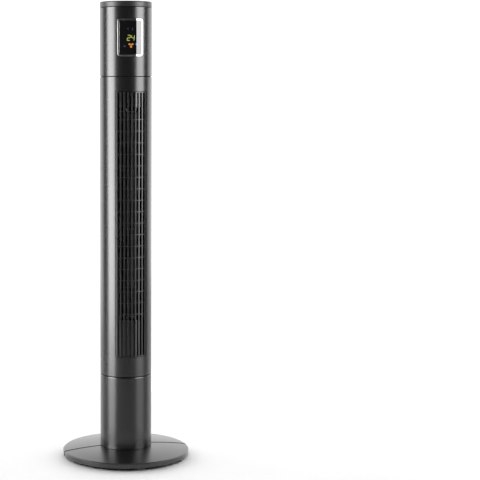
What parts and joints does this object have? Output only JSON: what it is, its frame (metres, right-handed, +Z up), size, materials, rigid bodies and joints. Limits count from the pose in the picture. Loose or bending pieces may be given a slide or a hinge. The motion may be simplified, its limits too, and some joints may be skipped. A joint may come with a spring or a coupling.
{
  "type": "tower fan",
  "caption": "Tall round oscillating tower fan on a split disc base, with a slatted outlet, a cross-flow blower, a lit display in a bright frame and keys on top.",
  "frame": {"origin": "centre of the base on the floor, at the bottom faces of the feet", "axes": "+Z up along the tower; the air outlet and the display face -Y; +X is to the right for someone who stands in front and looks along +Y"},
  "size_m": [0.328, 0.328, 1.1714],
  "materials": {
    "housing_plastic": "satin gloss, dark anthracite",
    "base_plastic": "satin, dark anthracite",
    "grille_plastic": "satin black",
    "inner_plastic": "matt black",
    "chrome_trim": "bright plated",
    "black_glass": "high gloss black",
    "black_rubber": "matt",
    "zinc_steel": "zinc plated",
    "black_steel": "blackened",
    "motor_steel": "dull grey",
    "bearing_bronze": "sintered bronze",
    "white_plastic": "natural white acetal",
    "circuit_board": "green board",
    "cable_sheath": "matt sleeve"
  },
  "bodies": {
    "stand": {"base_front_half": "base_plastic", "base_rear_half": "base_plastic", "foot_1": "black_rubber", "foot_2": "black_rubber", "foot_3": "black_rubber", "foot_4": "black_rubber", "foot_5": "black_rubber", "foot_6": "black_rubber", "base_screw_1": "zinc_steel", "base_screw_2": "zinc_steel", "base_screw_3": "zinc_steel", "base_screw_4": "zinc_steel", "column_tube": "housing_plastic", "column_foot": "inner_plastic", "cord_gland": "black_rubber", "swivel_base_plate": "inner_plastic", "swivel_gear_sector": "white_plastic", "swivel_thrust_ring": "inner_plastic"},
    "tower": {"bearing_bush": "bearing_bronze", "bearing_plate": "inner_plastic", "bearing_rubber": "black_rubber", "carry_grip": "inner_plastic", "control_board": "circuit_board", "control_panel": "black_glass", "display_bezel": "chrome_trim", "display_board": "circuit_board", "display_window": "black_glass", "duct_scroll": "inner_plastic", "duct_tongue": "inner_plastic", "finger_guard": "grille_plastic", "front_grille": "grille_plastic", "front_shell": "housing_plastic", "grille_screw": "black_steel", "head_plate": "inner_plastic", "head_shell": "housing_plastic", "motor_damper_1": "black_rubber", "motor_damper_2": "black_rubber", "motor_damper_3": "black_rubber", "motor_housing": "motor_steel", "motor_plate": "inner_plastic", "oscillation_motor": "motor_steel", "rear_grille": "grille_plastic", "rear_shell": "housing_plastic", "run_capacitor": "white_plastic", "shell_screw_1": "zinc_steel", "shell_screw_2": "zinc_steel", "shell_screw_3": "zinc_steel", "shell_screw_4": "zinc_steel", "swivel_circlip": "zinc_steel", "swivel_top_plate": "inner_plastic", "top_cap": "housing_plastic", "wiring_harness": "cable_sheath"},
    "blower": {"blower_wheel": "inner_plastic", "motor_shaft": "zinc_steel", "blower_axle": "zinc_steel"},
    "oscillation_gear": {"oscillation_pinion": "white_plastic"},
    "power_key": {"key_power": "black_glass"},
    "speed_key": {"key_speed": "black_glass"},
    "timer_key": {"key_timer": "black_glass"},
    "swing_key": {"key_swing": "black_glass"}
  },
  "joints": [
    {"name": "oscillate", "type": "hinge", "parent": "stand", "child": "tower", "pos_m": [0, 0, 0.2], "axis": [0, 0, 1], "range_deg": [-35, 35]},
    {"name": "blower_spin", "type": "hinge", "parent": "tower", "child": "blower", "pos_m": [0, 0.004, 0.63], "axis": [0, 0, 1], "continuous": true},
    {"name": "oscillation_gear_spin", "type": "hinge", "parent": "tower", "child": "oscillation_gear", "pos_m": [0, 0.0378, 0.21], "axis": [0, 0, 1], "range_deg": [-122.5, 122.5]},
    {"name": "power_press", "type": "slide", "parent": "tower", "child": "power_key", "axis": [0, 0, -1], "range_m": [0, 0.0008], "stiffness_N_per_m": 400, "springref_m": -0.001},
    {"name": "speed_press", "type": "slide", "parent": "tower", "child": "speed_key", "axis": [0, 0, -1], "range_m": [0, 0.0008], "stiffness_N_per_m": 400, "springref_m": -0.001},
    {"name": "timer_press", "type": "slide", "parent": "tower", "child": "timer_key", "axis": [0, 0, -1], "range_m": [0, 0.0008], "stiffness_N_per_m": 400, "springref_m": -0.001},
    {"name": "swing_press", "type": "slide", "parent": "tower", "child": "swing_key", "axis": [0, 0, -1], "range_m": [0, 0.0008], "stiffness_N_per_m": 400, "springref_m": -0.001}
  ],
  "couplings": [
    {"joint": "oscillation_gear_spin", "follows": "oscillate", "ratio": 3.5}
  ]
}
